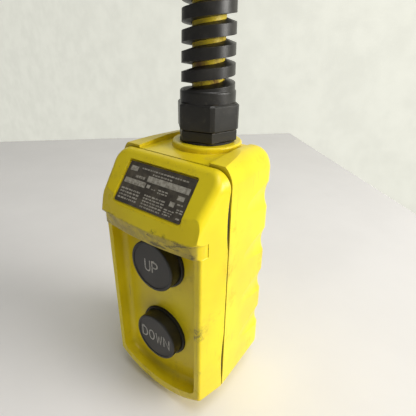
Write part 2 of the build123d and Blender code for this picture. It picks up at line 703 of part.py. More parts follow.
for name, height in BUTTON_HEIGHTS.items():
    centre = [(0, height)]
    sides = [(-1, height), (1, height)]
    contacts = [(side * CONTACT_X, z) for side, z in sides]
    terminals = [(side * TERMINAL_X, z) for side, z in sides]
    ears = [(side * EAR_X, height + rise) for side in (-1, 1) for rise in (-EAR_Z, EAR_Z)]

    with BuildPart() as cap:
        add(rings(-FACE_DEPTH, -CAP_BACK, BUTTON_RADIUS, 0, centre))
        fillet(cap.faces().sort_by(Axis.Y)[0].edges(), 0.8)
        add(rings(-CAP_BACK, -SKIRT_END, BUTTON_RADIUS, BUTTON_RADIUS - 2, centre))
        add(
            rings(-FACE_DEPTH, -FACE_DEPTH + DISC_SINK + DISC_THICK, DISC_RADIUS + 0.05, 0, centre),
            mode=Mode.SUBTRACT,
        )
    keep(cap.part, f"{name}_button_cap")

    disc_face = -FACE_DEPTH + DISC_SINK
    keep(rings(disc_face, disc_face + DISC_THICK, DISC_RADIUS, 0, centre), f"{name}_legend_disc")

    with BuildPart() as operator:
        add(rings(-CUP_FRONT, -PANEL_DEPTH - 0.6, COLLAR_RADIUS, CUP_RADIUS, centre))
        fillet(operator.faces().sort_by(Axis.Y)[0].edges().sort_by(SortBy.LENGTH)[-1], 0.4)
        add(rings(-PANEL_DEPTH - 0.6, -1.2, BARREL_RADIUS, CUP_RADIUS, centre))
        add(rings(-CUP_FLOOR, -1.2, BARREL_RADIUS, STEM_RADIUS + CLEAR, centre))
        add(rings(-CUP_FLOOR - 3, -CUP_FLOOR, 6.5, STEM_RADIUS + CLEAR, centre))
    keep(operator.part, f"{name}_operator_body")

    seal = rings(-PANEL_DEPTH - 0.6, -PANEL_DEPTH, COLLAR_RADIUS + 0.2, BARREL_RADIUS + 0.05, centre)
    keep(seal, f"{name}_operator_seal")

    with BuildPart() as ring_nut:
        add(rings(-PANEL_BACK, -PANEL_BACK + 3, 19.5, BARREL_RADIUS + 0.05, centre))
        notches = PolarLocations(19.5, 6, start_angle=30)
        with BuildSketch(facing_front(-PANEL_BACK)):
            with Locations(*spots(centre)):
                with notches:
                    Rectangle(2.4, 3.0)
        extrude(amount=-3, mode=Mode.SUBTRACT)
    keep(ring_nut.part, f"{name}_ring_nut")

    with BuildPart() as plunger:
        add(rings(-CAP_BACK, -CAP_BACK + 1.5, 7.0, 0, centre))
        add(rings(-CAP_BACK + 1.5, BRIDGE_DEPTH, STEM_RADIUS, 0, centre))
        add(rings(BRIDGE_DEPTH, BRIDGE_DEPTH + 4, 2.0, 0, centre))
        add(rings(BRIDGE_DEPTH + 1.2, BRIDGE_DEPTH + 2, 2.5, 1.5, centre), mode=Mode.SUBTRACT)
    keep(plunger.part, f"{name}_plunger")

    spring_length = CAP_BACK - CUP_FLOOR - 2 * SPRING_WIRE
    with BuildPart() as spring:
        with BuildLine():
            coil = Helix(
                spring_length / 5,
                spring_length,
                SPRING_RADIUS,
                center=(0, back(-CAP_BACK + SPRING_WIRE), up(height)),
                direction=(0, 1, 0),
            )
        with BuildSketch(Plane(origin=coil @ 0, z_dir=coil % 0)):
            Circle(SPRING_WIRE)
        sweep(path=coil, is_frenet=True)
    keep(spring.part, f"{name}_return_spring")

    with BuildPart() as bridge:
        add(slabs(BRIDGE_DEPTH, BRIDGE_DEPTH + 1.2, 22, 6, centre))
        fillet(bridge.edges().filter_by(Axis.Y), 1.5)
        add(rings(BRIDGE_DEPTH + 1.2, BRIDGE_DEPTH + 1.7, 1.6, 0, contacts))
        add(rings(BRIDGE_DEPTH, BRIDGE_DEPTH + 1.2, 2.03, 0, centre), mode=Mode.SUBTRACT)
    keep(bridge.part, f"{name}_contact_bridge")

    with BuildPart() as clip:
        add(rings(BRIDGE_DEPTH + 1.25, BRIDGE_DEPTH + 1.95, 3.6, 1.53, centre))
        add(slabs(BRIDGE_DEPTH + 1, BRIDGE_DEPTH + 2, 2.0, 4.0, [(0, height - 3)]), mode=Mode.SUBTRACT)
    keep(clip.part, f"{name}_plunger_clip")

    with BuildPart() as block:
        add(slabs(BLOCK_FRONT, BLOCK_REAR, 2 * BLOCK_HALF, 24, centre))
        fillet(block.edges().filter_by(Axis.Y), 1.0)
        add(slabs(9.0, LEDGE_REAR, 2 * BLOCK_HALF + 14, 12, centre))
        add(slabs(BLOCK_FRONT, BLOCK_FRONT + 2.5, 7, 5, ears))
        add(slabs(*WINDOW, 2 * WINDOW_HALF, 30, centre), mode=Mode.SUBTRACT)
        add(slabs(LEDGE_REAR, LEDGE_REAR + 1.2, 2 * BLOCK_HALF + 2, 6, centre), mode=Mode.SUBTRACT)
        add(rings(BLOCK_FRONT, WINDOW[0], STEM_RADIUS + 0.3, 0, centre), mode=Mode.SUBTRACT)
        add(rings(BLOCK_FRONT, BLOCK_FRONT + 3, 1.35, 0, ears), mode=Mode.SUBTRACT)
        add(rings(10.0, LEDGE_REAR, 1.35, 0, terminals), mode=Mode.SUBTRACT)
    keep(block.part, f"{name}_contact_block")

    with BuildPart() as fixed:
        add(slabs(LEDGE_REAR, LEDGE_REAR + 1.2, 15, 6, [(side * 14.0, z) for side, z in sides]))
        add(rings(LEDGE_REAR - 0.3, LEDGE_REAR, 1.6, 0, contacts))
        add(rings(LEDGE_REAR, LEDGE_REAR + 1.2, 1.35, 0, terminals), mode=Mode.SUBTRACT)
    keep(fixed.part, f"{name}_fixed_contacts")

    with BuildPart() as block_screws:
        add(rings(BRACKET_DEPTH - 1, BLOCK_FRONT + 2.5, 1.2, 0, ears))
        add(rings(BLOCK_FRONT + 2.5, BLOCK_FRONT + 4.1, 2.4, 0, ears))
    keep(block_screws.part, f"{name}_block_screws")

# ---------------------------------------------------------------- bracket across the standoffs
with BuildPart() as operator_bracket:
    add(slabs(BRACKET_DEPTH, BLOCK_FRONT, 57, 78, [(0, 56.6)]))
    fillet(operator_bracket.edges().filter_by(Axis.Y), 3.0)
    stems = [(0, height) for height in BUTTON_HEIGHTS.values()]
    taps = [
        (side * EAR_X, height + rise * EAR_Z)
        for side in (-1, 1)
        for height in BUTTON_HEIGHTS.values()
        for rise in (-1, 1)
    ]
    add(rings(BRACKET_DEPTH, BLOCK_FRONT, 6.0, 0, stems), mode=Mode.SUBTRACT)
    add(rings(BRACKET_DEPTH, BLOCK_FRONT, 1.22, 0, taps), mode=Mode.SUBTRACT)
    add(rings(BRACKET_DEPTH, BLOCK_FRONT, 1.6, 0, STANDOFF_SPOTS), mode=Mode.SUBTRACT)
keep(operator_bracket.part, "operator_bracket")

with BuildPart() as bracket_screws:
    add(rings(BRACKET_DEPTH - 5, BLOCK_FRONT, 1.47, 0, STANDOFF_SPOTS))
    add(rings(BLOCK_FRONT, BLOCK_FRONT + 1.8, 2.8, 0, STANDOFF_SPOTS))
keep(bracket_screws.part, "bracket_screws")

# ---------------------------------------------------------------- wiring inside the housing
STRIP_REAR = LEDGE_REAR + 1.2
UP_Z, DOWN_Z = BUTTON_HEIGHTS["up"], BUTTON_HEIGHTS["down"]
# each ring terminal: depth, x, height and which way its barrel points
LUGS = {
    "common": (STRIP_REAR, -TERMINAL_X, UP_Z, 1),
    "jumper_top": (STRIP_REAR + 0.6, -TERMINAL_X, UP_Z, -1),
    "up": (STRIP_REAR, TERMINAL_X, UP_Z, 1),
    "jumper_foot": (STRIP_REAR, -TERMINAL_X, DOWN_Z, 1),
    "down": (STRIP_REAR, TERMINAL_X, DOWN_Z, 1),
}
with BuildPart() as wire_lugs:
    for place in LUGS.values():
        add(lug(*place))
keep(wire_lugs.part, "wire_lugs")

with BuildPart() as terminal_screws:
    for x, height, lugs in (
        (-TERMINAL_X, UP_Z, 2),
        (TERMINAL_X, UP_Z, 1),
        (-TERMINAL_X, DOWN_Z, 1),
        (TERMINAL_X, DOWN_Z, 1),
    ):
        seat = STRIP_REAR + 0.6 * lugs
        add(rings(11.0, seat, 1.3, 0, [(x, height)]))
        add(rings(seat, seat + 1.8, 2.4, 0, [(x, height)]))
keep(terminal_screws.part, "terminal_screws")

EARTH_FACE = BOX_HOLLOW - 4
earth_barrel = EARTH_FACE - 1.75
with BuildPart() as earth_lug:
    add(rings(EARTH_FACE - 0.6, EARTH_FACE, 3.6, 0, [EARTH_SPOT]))
    add(slabs(EARTH_FACE - 0.6, EARTH_FACE, 2.4, 3.2, [(0, EARTH_SPOT[1] + 4.2)]))
    add(rings(EARTH_FACE - 0.6, EARTH_FACE, 2.06, 0, [EARTH_SPOT]), mode=Mode.SUBTRACT)
    with BuildSketch(Plane.XY.offset(up(EARTH_SPOT[1] + 4.2))):
        with Locations((0, back(earth_barrel))):
            Circle(1.7)
    extrude(amount=LUG_REACH - 4.2)
keep(earth_lug.part, "earth_lug")

with BuildPart() as earth_screw:
    add(rings(EARTH_FACE - 0.6, BOX_HOLLOW + 1, 2.0, 0, [EARTH_SPOT]))
    add(rings(EARTH_FACE - 2.8, EARTH_FACE - 0.6, 3.2, 0, [EARTH_SPOT]))
keep(earth_screw.part, "earth_screw")

LUG_WIRE = STRIP_REAR + 1.1  # depth of a wire where it leaves its barrel
# each wire's route: x, depth and height of its points
WIRES = {
    "common": [
        (-CORE_CIRCLE, 30, 124), (-CORE_CIRCLE, 30, 117), (-TERMINAL_X, 24, 104),
        (-TERMINAL_X, LUG_WIRE, 97), (-TERMINAL_X, LUG_WIRE, UP_Z + LUG_REACH),
    ],
    "up": [
        (CORE_CIRCLE, 30, 124), (CORE_CIRCLE, 30, 117), (TERMINAL_X, 24, 104),
        (TERMINAL_X, LUG_WIRE, 97), (TERMINAL_X, LUG_WIRE, UP_Z + LUG_REACH),
    ],
    "down": [
        (0, 30 - CORE_CIRCLE, 124), (0, 30 - CORE_CIRCLE, 114), (TERMINAL_X, 30, 98),
        (TERMINAL_X, 30, 56), (TERMINAL_X, LUG_WIRE, 46), (TERMINAL_X, LUG_WIRE, DOWN_Z + LUG_REACH),
    ],
    "jumper": [
        (-TERMINAL_X, LUG_WIRE + 0.6, UP_Z - LUG_REACH), (-TERMINAL_X, LUG_WIRE + 0.6, 68),
        (-TERMINAL_X, 25, 56), (-TERMINAL_X, LUG_WIRE, 46), (-TERMINAL_X, LUG_WIRE, DOWN_Z + LUG_REACH),
    ],
}
for wire, points in WIRES.items():
    with BuildPart() as lead:
        with BuildLine() as route:
            FilletPolyline(*[(x, back(depth), up(height)) for x, depth, height in points], radius=3.0)
        with BuildSketch(Plane(origin=route.line @ 0, z_dir=route.line % 0)):
            Circle(WIRE_RADIUS)
        sweep()
    keep(lead.part, f"wire_{wire}")

with BuildPart() as wire_earth:
    with BuildSketch(Plane.XY.offset(up(EARTH_SPOT[1] + LUG_REACH))):
        with Locations((0, back(earth_barrel))):
            Circle(WIRE_RADIUS)
    extrude(amount=ENTRY_FOOT - up(EARTH_SPOT[1] + LUG_REACH))
keep(wire_earth.part, "wire_earth")

os.makedirs("parts", exist_ok=True)
for name, part in finished.items():
    export_step(part, f"parts/{name}.step")
    print(name, len(part.solids()))
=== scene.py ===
"""Looks of the two-button hoist pendant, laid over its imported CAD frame.

Metres, +Z up, the buttons face -Y.
"""

import json
import math
import random

import bmesh
import bpy
from mathutils import Matrix, Vector


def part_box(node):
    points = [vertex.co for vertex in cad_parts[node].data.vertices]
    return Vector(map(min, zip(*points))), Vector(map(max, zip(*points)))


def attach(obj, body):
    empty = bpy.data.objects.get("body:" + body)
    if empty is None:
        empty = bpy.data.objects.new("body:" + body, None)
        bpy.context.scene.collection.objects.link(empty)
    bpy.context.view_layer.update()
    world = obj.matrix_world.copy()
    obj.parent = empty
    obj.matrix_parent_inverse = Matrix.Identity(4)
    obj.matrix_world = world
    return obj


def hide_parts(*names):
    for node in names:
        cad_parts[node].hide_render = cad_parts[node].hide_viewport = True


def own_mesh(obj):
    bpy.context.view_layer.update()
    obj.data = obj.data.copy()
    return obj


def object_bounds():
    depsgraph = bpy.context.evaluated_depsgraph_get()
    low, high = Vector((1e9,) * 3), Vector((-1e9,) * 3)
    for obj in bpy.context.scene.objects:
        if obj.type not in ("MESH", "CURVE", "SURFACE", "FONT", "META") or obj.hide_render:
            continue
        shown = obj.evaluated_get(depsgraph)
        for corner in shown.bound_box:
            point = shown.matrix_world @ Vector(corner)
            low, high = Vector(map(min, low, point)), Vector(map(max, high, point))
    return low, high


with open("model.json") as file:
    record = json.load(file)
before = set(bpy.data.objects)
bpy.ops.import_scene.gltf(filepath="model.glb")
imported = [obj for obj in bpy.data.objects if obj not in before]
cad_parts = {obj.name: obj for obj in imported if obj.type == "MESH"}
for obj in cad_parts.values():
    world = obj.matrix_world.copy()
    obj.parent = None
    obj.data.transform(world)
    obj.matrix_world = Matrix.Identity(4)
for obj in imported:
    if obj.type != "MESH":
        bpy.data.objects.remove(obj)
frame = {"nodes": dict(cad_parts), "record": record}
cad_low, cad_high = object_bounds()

MM = 0.001
scene = bpy.context.scene
nodes = frame["nodes"]


def centre(node):
    """Middle of a CAD node's box."""
    low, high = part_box(node)
    return (Vector(low) + Vector(high)) / 2


# ---------------------------------------------------------------- camera
AIM = Vector((0.0034, -0.0024, -0.2238))
VIEW_DISTANCE = 0.21
VIEW_YAW, VIEW_PITCH, VIEW_ROLL = math.radians(36.32), math.radians(25.91), math.radians(1.25)
SENSOR_WIDTH = 36.0  # mm
LENS = 30.07  # mm
NEAR_CLIP = 0.01


def add_camera():
    """The photograph's view: from the front right, above the hood, tipped down."""
    data = bpy.data.cameras.new("view_camera")
    data.sensor_width = SENSOR_WIDTH
    data.lens = LENS
    data.clip_start = NEAR_CLIP
    camera = bpy.data.objects.new("view_camera", data)
    turn = (
        Matrix.Rotation(VIEW_YAW, 4, "Z")
        @ Matrix.Rotation(math.pi / 2 - VIEW_PITCH, 4, "X")
        @ Matrix.Rotation(VIEW_ROLL, 4, "Z")
    )
    camera.matrix_world = Matrix.Translation(AIM + turn @ Vector((0, 0, VIEW_DISTANCE))) @ turn
    scene.collection.objects.link(camera)
    scene.camera = camera


add_camera()


# ---------------------------------------------------------------- shader helpers
class Shader:
    """A material with a Principled surface, and short calls that add nodes to it."""

    def __init__(self, name):
        self.material = bpy.data.materials.new(name)
        self.material.use_nodes = True
        self.tree = self.material.node_tree
        self.surface = self.tree.nodes["Principled BSDF"]
        self.place = self.add("ShaderNodeTexCoord").outputs["Object"]

    def add(self, kind, inputs=(), **settings):
        made = self.tree.nodes.new(kind)
        for key, value in settings.items():
            setattr(made, key, value)
        for socket, value in dict(inputs).items():
            self.feed(made.inputs[socket], value)
        return made

    def feed(self, socket, value):
        if isinstance(value, bpy.types.NodeSocket):
            self.tree.links.new(value, socket)
        elif isinstance(value, (tuple, list)) and len(value) == 3 and socket.type == "RGBA":
            socket.default_value = (*value, 1.0)
        else:
            socket.default_value = value

    def math(self, operation, a, b=0.0):
        return self.add("ShaderNodeMath", {0: a, 1: b}, operation=operation).outputs[0]

    def spread(self, value, low, high, out_low=0.0, out_high=1.0):
        """Smoothly remaps low..high to out_low..out_high."""
        return self.add(
            "ShaderNodeMapRange",
            {"Value": value, "From Min": low, "From Max": high, "To Min": out_low, "To Max": out_high},
            interpolation_type="SMOOTHSTEP",
        ).outputs["Result"]

    def stretched(self, scale, offset=(0.0, 0.0, 0.0)):
        """The place scaled per axis, for streaks and grain."""
        return self.add(
            "ShaderNodeMapping", {"Vector": self.place, "Scale": scale, "Location": offset}
        ).outputs["Vector"]

    def noise(self, scale, detail=4.0, roughness=0.55, place=None):
        return self.add(
            "ShaderNodeTexNoise",
            {"Vector": place or self.place, "Scale": scale, "Detail": detail, "Roughness": roughness},
        ).outputs["Fac"]

    def mix(self, factor, a, b):
        made = self.add("ShaderNodeMix", data_type="RGBA")
        self.feed(made.inputs["Factor"], factor)
        self.feed(made.inputs[6], a)
        self.feed(made.inputs[7], b)
        return made.outputs[2]

    def near(self, point, reach, ragged=0.5, scale=260.0):
        """1 at a point of the frame, fading to 0 at reach metres, with a ragged outline."""
        distance = self.add("ShaderNodeVectorMath", {0: self.place, 1: point}, operation="DISTANCE")
        rough = self.math("MULTIPLY", self.noise(scale, 5.0), ragged * reach)
        return self.spread(self.math("ADD", distance.outputs["Value"], rough), reach, 0.35 * reach)

    def axis(self, name):
        """One coordinate of the place."""
        return self.add("ShaderNodeSeparateXYZ", {"Vector": self.place}).outputs[name]

    def edges(self, radius):
        """0 on flat areas, rising to 1 along corners of about that radius."""
        rounded = self.add("ShaderNodeBevel", {"Radius": radius}, samples=6).outputs["Normal"]
        flat = self.add("ShaderNodeNewGeometry").outputs["Normal"]
        along = self.add("ShaderNodeVectorMath", {0: rounded, 1: flat}, operation="DOT_PRODUCT")
        return self.spread(along.outputs["Value"], 0.995, 0.82)

    def crevices(self, distance):
        """1 deep in corners, 0 in the open."""
        open_share = self.add("ShaderNodeAmbientOcclusion", {"Distance": distance}, samples=8)
        return self.spread(open_share.outputs["AO"], 0.85, 0.25)

    def finish(self, colour, roughness, height=None, bump=0.0, soft_edge=0.0, **others):
        """Joins colour, roughness and bump to the surface."""
        self.feed(self.surface.inputs["Base Color"], colour)
        self.feed(self.surface.inputs["Roughness"], roughness)
        normal = None
        if soft_edge:
            normal = self.add("ShaderNodeBevel", {"Radius": soft_edge}, samples=6).outputs["Normal"]
        if height is not None:
            lumps = self.add("ShaderNodeBump", {"Height": height, "Distance": bump, "Strength": 1.0})
            if normal is not None:
                self.feed(lumps.inputs["Normal"], normal)
            normal = lumps.outputs["Normal"]
        if normal is not None:
            self.feed(self.surface.inputs["Normal"], normal)
        for key, value in others.items():
            self.feed(self.surface.inputs[key.replace("_", " ")], value)
        return self.material


# ---------------------------------------------------------------- materials
cover_low, cover_high = (Vector(corner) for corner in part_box("front_cover"))
LIP_BAND = 5 * MM  # how far back from the cover's front the worn band of the lip reaches
LIP_FOOT_DROP = 39.5 * MM  # from the cover's top down to the lip's lower edge
LIP_EDGE_DROP = 31.5 * MM  # and to its upper edge
lip_face = cover_low.y + LIP_BAND
lip_foot = cover_high.z - LIP_FOOT_DROP
lip_edge = cover_high.z - LIP_EDGE_DROP

# scuffs of the yellow shell: place in mm, size in mm, colour and strength
SHELL_MARKS = (
    ((8.0, -53.6, -216.4), 5.0, (0.05, 0.04, 0.02), 0.85),
    ((15.0, -53.2, -216.8), 4.5, (0.05, 0.04, 0.02), 0.8),
    ((-21.0, -52.8, -220.0), 3.0, (0.05, 0.045, 0.03), 0.8),
    ((20.0, -52.5, -209.0), 4.0, (0.28, 0.19, 0.04), 0.6),
    ((32.4, -48.5, -272.0), 13.0, (0.07, 0.05, 0.02), 0.95),
    ((33.0, -48.0, -301.0), 6.0, (0.13, 0.09, 0.02), 0.55),
    ((-9.0, -50.0, -333.0), 13.0, (0.20, 0.13, 0.03), 0.6),
    ((-25.0, -49.0, -318.0), 10.0, (0.22, 0.14, 0.03), 0.55),
    ((6.0, -26.0, -185.5), 9.0, (0.45, 0.24, 0.12), 0.5),
    ((17.0, -20.0, -185.0), 8.0, (0.42, 0.25, 0.12), 0.45),
    ((30.0, -48.5, -326.0), 7.0, (0.16, 0.11, 0.03), 0.6),
)


def yellow_shell():
    """Glossy yellow moulding, dulled and smeared where hands, hooks and walls have rubbed it, with
    painted shade in its corners.
    """
    s = Shader("yellow_shell")
    cloud = s.noise(22.0, 3.0)
    fine = s.noise(420.0, 6.0, 0.62)
    yellow = s.mix(s.spread(cloud, 0.35, 0.65), (0.78, 0.60, 0.007), (0.87, 0.70, 0.012))
    # grime: a smeared film everywhere, and in the corners dirt together with painted shade
    smear = s.math("MULTIPLY", s.spread(s.noise(55.0, 6.0, 0.7), 0.52, 0.74), s.spread(fine, 0.3, 0.7))
    film = s.mix(s.math("MULTIPLY", smear, 0.45), yellow, (0.30, 0.20, 0.03))
    # dirt and painted shade: darker brown wherever ambient occlusion finds a corner or recess
    corners = s.math("MULTIPLY", s.crevices(5 * MM), s.spread(s.noise(120.0, 5.0), 0.35, 0.65, 0.25, 1.0))
    film = s.mix(s.math("MULTIPLY", corners, 0.55), film, (0.22, 0.13, 0.02))
    # long scratches down the sides
    streaks = s.noise(1.0, 4.0, 0.6, s.stretched((900.0, 900.0, 28.0)))
    scratched = s.math("MULTIPLY", s.spread(streaks, 0.62, 0.70), s.spread(s.noise(30.0), 0.46, 0.58))
    film = s.mix(s.math("MULTIPLY", scratched, 0.6), film, (0.30, 0.20, 0.04))
    # worn lip: a greyed band with black scuffs along its front edge
    ragged = s.math("MULTIPLY", s.noise(190.0, 6.0, 0.7), 2.4 * MM)
    lip = s.math(
        "MULTIPLY",
        s.spread(s.axis("Y"), lip_face + 0.6 * MM, lip_face - 0.6 * MM),
        s.spread(s.math("ADD", s.axis("Z"), ragged), lip_edge + 2.2 * MM, lip_edge + 0.9 * MM),
    )
    lip = s.math("MULTIPLY", lip, s.spread(s.axis("Z"), lip_foot - 3 * MM, lip_foot - 1 * MM))
    lip_grey = s.math("MULTIPLY", lip, s.spread(s.noise(150.0, 6.0, 0.7), 0.34, 0.6, 0.45, 1.0))
    film = s.mix(s.math("MULTIPLY", lip_grey, 0.7), film, (0.25, 0.185, 0.045))
    scrapes = s.noise(1.0, 6.0, 0.75, s.stretched((90, 260, 330)))
    scuffs = s.math("MULTIPLY", lip, s.spread(scrapes, 0.56, 0.62))
    film = s.mix(s.math("MULTIPLY", scuffs, 0.75), film, (0.06, 0.05, 0.025))
    # rubbed edges: dark chips along the corners
    chips = s.math("MULTIPLY", s.edges(1.1 * MM), s.spread(s.noise(330.0, 6.0, 0.75), 0.56, 0.66))
    film = s.mix(s.math("MULTIPLY", chips, 0.7), film, (0.10, 0.07, 0.02))
    for spot, size, colour, strength in SHELL_MARKS:
        spot_mask = s.near([value * MM for value in spot], size * MM, 0.9)
        ragged = s.math("MULTIPLY", spot_mask, s.spread(s.noise(480.0, 6.0, 0.8), 0.42, 0.6))
        film = s.mix(s.math("MULTIPLY", ragged, strength), film, colour)
    dull = s.math("ADD", s.math("MULTIPLY", smear, 0.25), s.spread(cloud, 0.3, 0.7, 0.27, 0.38))
    height = s.math("ADD", s.math("MULTIPLY", s.noise(900.0, 3.0), 0.35), s.math("MULTIPLY", chips, -0.8))
    return s.finish(film, dull, height, 0.05 * MM, 0.5 * MM, Specular_IOR_Level=0.36, Coat_Weight=0.05)


def black_moulding(name, dark, light, rough, dusty=0.16, grain=700.0):
    """Black plastic or rubber, greyed by handling and rubbed lighter along its corners."""
    s = Shader(name)
    patches = s.spread(s.noise(60.0, 5.0, 0.6), 0.4, 0.68)
    base = s.mix(patches, dark, light)
    dust = s.math("MULTIPLY", s.spread(s.noise(300.0, 6.0, 0.8), 0.55, 0.72), dusty)
    base = s.mix(dust, base, (0.20, 0.17, 0.12))
    settled = s.math("MULTIPLY", s.crevices(2.5 * MM), s.spread(s.noise(380.0, 6.0, 0.75), 0.5, 0.64))
    base = s.mix(s.math("MULTIPLY", settled, 2.4 * dusty), base, (0.24, 0.17, 0.08))
    rubbed = s.math("MULTIPLY", s.edges(0.6 * MM), s.spread(s.noise(180.0, 5.0), 0.40, 0.68))
    base = s.mix(s.math("MULTIPLY", rubbed, 0.4), base, [min(1.0, 3.5 * value) for value in light])
    height = s.noise(grain, 4.0, 0.6)
    return s.finish(base, s.spread(patches, 0, 1, rough, rough + 0.1), height, 0.02 * MM, 0.35 * MM)


def cord_jacket():
    """Yellow rubber jacket with brown dirt worked into it."""
    s = Shader("cord_jacket")
    dirt = s.spread(s.noise(1.0, 6.0, 0.7, s.stretched((190, 190, 150))), 0.44, 0.68)
    low_down = s.spread(s.axis("Z"), -112 * MM, -150 * MM, 0.25, 1.0)
    base = s.mix(s.math("MULTIPLY", dirt, low_down), (0.80, 0.60, 0.02), (0.26, 0.14, 0.025))
    packed = s.near((0.0, -8.5 * MM, -142.6 * MM), 9 * MM, 0.6)
    base = s.mix(s.math("MULTIPLY", packed, 0.9), base, (0.25, 0.10, 0.03))
    crumbs = s.noise(900.0, 5.0, 0.7)
    return s.finish(base, s.spread(dirt, 0, 1, 0.42, 0.8), crumbs, 0.12 * MM)


def label_face():
    """Dark printed plate, faded and stained."""
    s = Shader("label_face")
    stain = s.spread(s.noise(130.0, 6.0, 0.7), 0.4, 0.7)
    base = s.mix(stain, (0.050, 0.042, 0.032), (0.115, 0.098, 0.070))
    return s.finish(base, s.spread(stain, 0, 1, 0.38, 0.6), s.noise(800.0, 4.0), 0.02 * MM)


def label_print():
    """Silver-grey print of the label's fields and lines."""
    s = Shader("label_print")
    worn = s.spread(s.noise(520.0, 6.0, 0.75), 0.34, 0.62)
    base = s.mix(worn, (0.20, 0.18, 0.14), (0.46, 0.43, 0.36))
    return s.finish(base, 0.45, s.noise(900.0, 3.0), 0.01 * MM)


def engraving():
    """Pale paint left in the engraved letters."""
    s = Shader("engraving")
    worn = s.spread(s.noise(700.0, 6.0, 0.8), 0.30, 0.60)
    base = s.mix(worn, (0.20, 0.19, 0.17), (0.52, 0.50, 0.45))
    return s.finish(base, 0.6, s.noise(1100.0, 3.0), 0.02 * MM)


def metal(name, colour, rough, grain=(260.0, 260.0, 1400.0)):
    """Plated or bare metal with a drawn grain and faint tarnish."""
    s = Shader(name)
    tarnish = s.spread(s.noise(160.0, 5.0), 0.4, 0.7)
    base = s.mix(tarnish, colour, [0.72 * value for value in colour])
    lines = s.noise(1.0, 4.0, 0.6, s.stretched(grain))
    roughness = s.spread(lines, 0.3, 0.7, rough, rough + 0.18)
    return s.finish(base, roughness, lines, 0.01 * MM, 0.15 * MM, Metallic=1.0)


def painted_casting():
    """Grey hammered paint on the canopy."""
    s = Shader("painted_casting")
    tone = s.spread(s.noise(40.0, 4.0), 0.35, 0.65)
    dusty = s.spread(s.noise(300.0, 6.0, 0.7), 0.55, 0.75)
    base = s.mix(tone, (0.17, 0.175, 0.175), (0.22, 0.225, 0.22))
    base = s.mix(s.math("MULTIPLY", dusty, 0.35), base, (0.36, 0.34, 0.30))
    rubbed = s.math("MULTIPLY", s.edges(0.8 * MM), s.spread(s.noise(260.0, 5.0), 0.45, 0.65))
    base = s.mix(s.math("MULTIPLY", rubbed, 0.6), base, (0.42, 0.42, 0.42))
    return s.finish(base, 0.42, s.noise(520.0, 3.0), 0.12 * MM, 0.5 * MM)


def insulation(name, colour):
    """Smooth wire insulation with a slight mottle."""
    s = Shader(name)
    base = s.mix(s.spread(s.noise(200.0, 4.0), 0.35, 0.65), colour, [0.7 * value for value in colour])
    return s.finish(base, 0.4, s.noise(700.0, 3.0), 0.02 * MM)


finishes = {
    "housing_yellow": yellow_shell(),
    "seal_black": black_moulding("seal_rubber", (0.008, 0.008, 0.007), (0.020, 0.019, 0.017), 0.75),
    "label_aluminium": label_face(),
    "brass": metal("plain_brass", (0.72, 0.50, 0.20), 0.3),
    "zinc_steel": metal("zinc_plate", (0.56, 0.56, 0.54), 0.34),
    "spring_steel": metal("spring_wire", (0.42, 0.42, 0.42), 0.28),
    "gland_black": black_moulding("gland_nylon", (0.013, 0.012, 0.010), (0.026, 0.024, 0.020), 0.40),
    "cap_grey": black_moulding("cap_plastic", (0.011, 0.010, 0.009), (0.018, 0.016, 0.014), 0.42, 0.08),
    "disc_grey": black_moulding("disc_plastic", (0.036, 0.034, 0.031), (0.046, 0.043, 0.039), 0.5, 0.06),
    "operator_grey": black_moulding(
        "collar_plastic", (0.008, 0.007, 0.006), (0.014, 0.013, 0.011), 0.45, 0.08
    ),
    "inner_plastic": black_moulding("inner_plastic", (0.030, 0.030, 0.030), (0.050, 0.050, 0.050), 0.5),
    "cord_yellow": cord_jacket(),
    "relief_black": black_moulding("relief_rubber", (0.013, 0.012, 0.010), (0.024, 0.022, 0.019), 0.36),
    "canopy_grey": painted_casting(),
    "wire_black": insulation("wire_black_skin", (0.02, 0.02, 0.02)),
    "wire_red": insulation("wire_red_skin", (0.40, 0.02, 0.015)),
    "wire_blue": insulation("wire_blue_skin", (0.02, 0.05, 0.28)),
    "wire_green": insulation("wire_green_skin", (0.03, 0.22, 0.05)),
}
for entry in frame["record"]["subparts"]:
    piece = nodes[entry["node"]]
    piece.data.materials.clear()
    piece.data.materials.append(finishes[entry["material_slot"]])


# ---------------------------------------------------------------- cord
CORD_RADIUS = 8.5 * MM
CORD_POINTS = (-155.3, -132.0, -110.0, -88.0, -66.0, -44.6)  # heights of the taut cord's points, mm


def add_cord():
    """The taut cord from the bend relief's collar up to the canopy's gland."""
    curve = bpy.data.curves.new("cord_run", "CURVE")
    curve.dimensions = "3D"
    curve.bevel_depth = CORD_RADIUS
    curve.bevel_resolution = 8
    curve.resolution_u = 12
    curve.use_fill_caps = True
    run = curve.splines.new("NURBS")
    run.points.add(len(CORD_POINTS) - 1)
    for point, height in zip(run.points, CORD_POINTS):
        point.co = (0.0, 0.0, height * MM, 1.0)
    run.order_u = 3
    run.use_endpoint_u = True
    curve.materials.append(finishes["cord_yellow"])
    cord = bpy.data.objects.new("cord_run", curve)
    scene.collection.objects.link(cord)
    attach(cord, "station")
    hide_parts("cord")


add_cord()


# ---------------------------------------------------------------- pieces added in mesh code
def add_mesh(name, build, material, body):
    """A new mesh object filled by build(bmesh), with its material and body."""
    mesh = bpy.data.meshes.new(name)
    shape = bmesh.new()
    build(shape)
    bmesh.ops.recalc_face_normals(shape, faces=shape.faces)
    shape.to_mesh(mesh)
    shape.free()
    mesh.materials.append(material)
    made = bpy.data.objects.new(name, mesh)
    scene.collection.objects.link(made)
    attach(made, body)
    return made


def ribbon(points, width):
    """Left and right edge points of a flat stroke along 2-D points, mitred at its corners."""
    edges = []
    for i, point in enumerate(points):
        before = (point - points[i - 1]).normalized() if i else None
        after = (points[i + 1] - point).normalized() if i + 1 < len(points) else None
        run = ((before or after) + (after or before)).normalized()
        side = Vector((-run.y, run.x))
        stretch = 1 / max(0.45, side.dot(Vector((-(after or before).y, (after or before).x))))
        edges.append((point + side * width / 2 * stretch, point - side * width / 2 * stretch))
    return edges


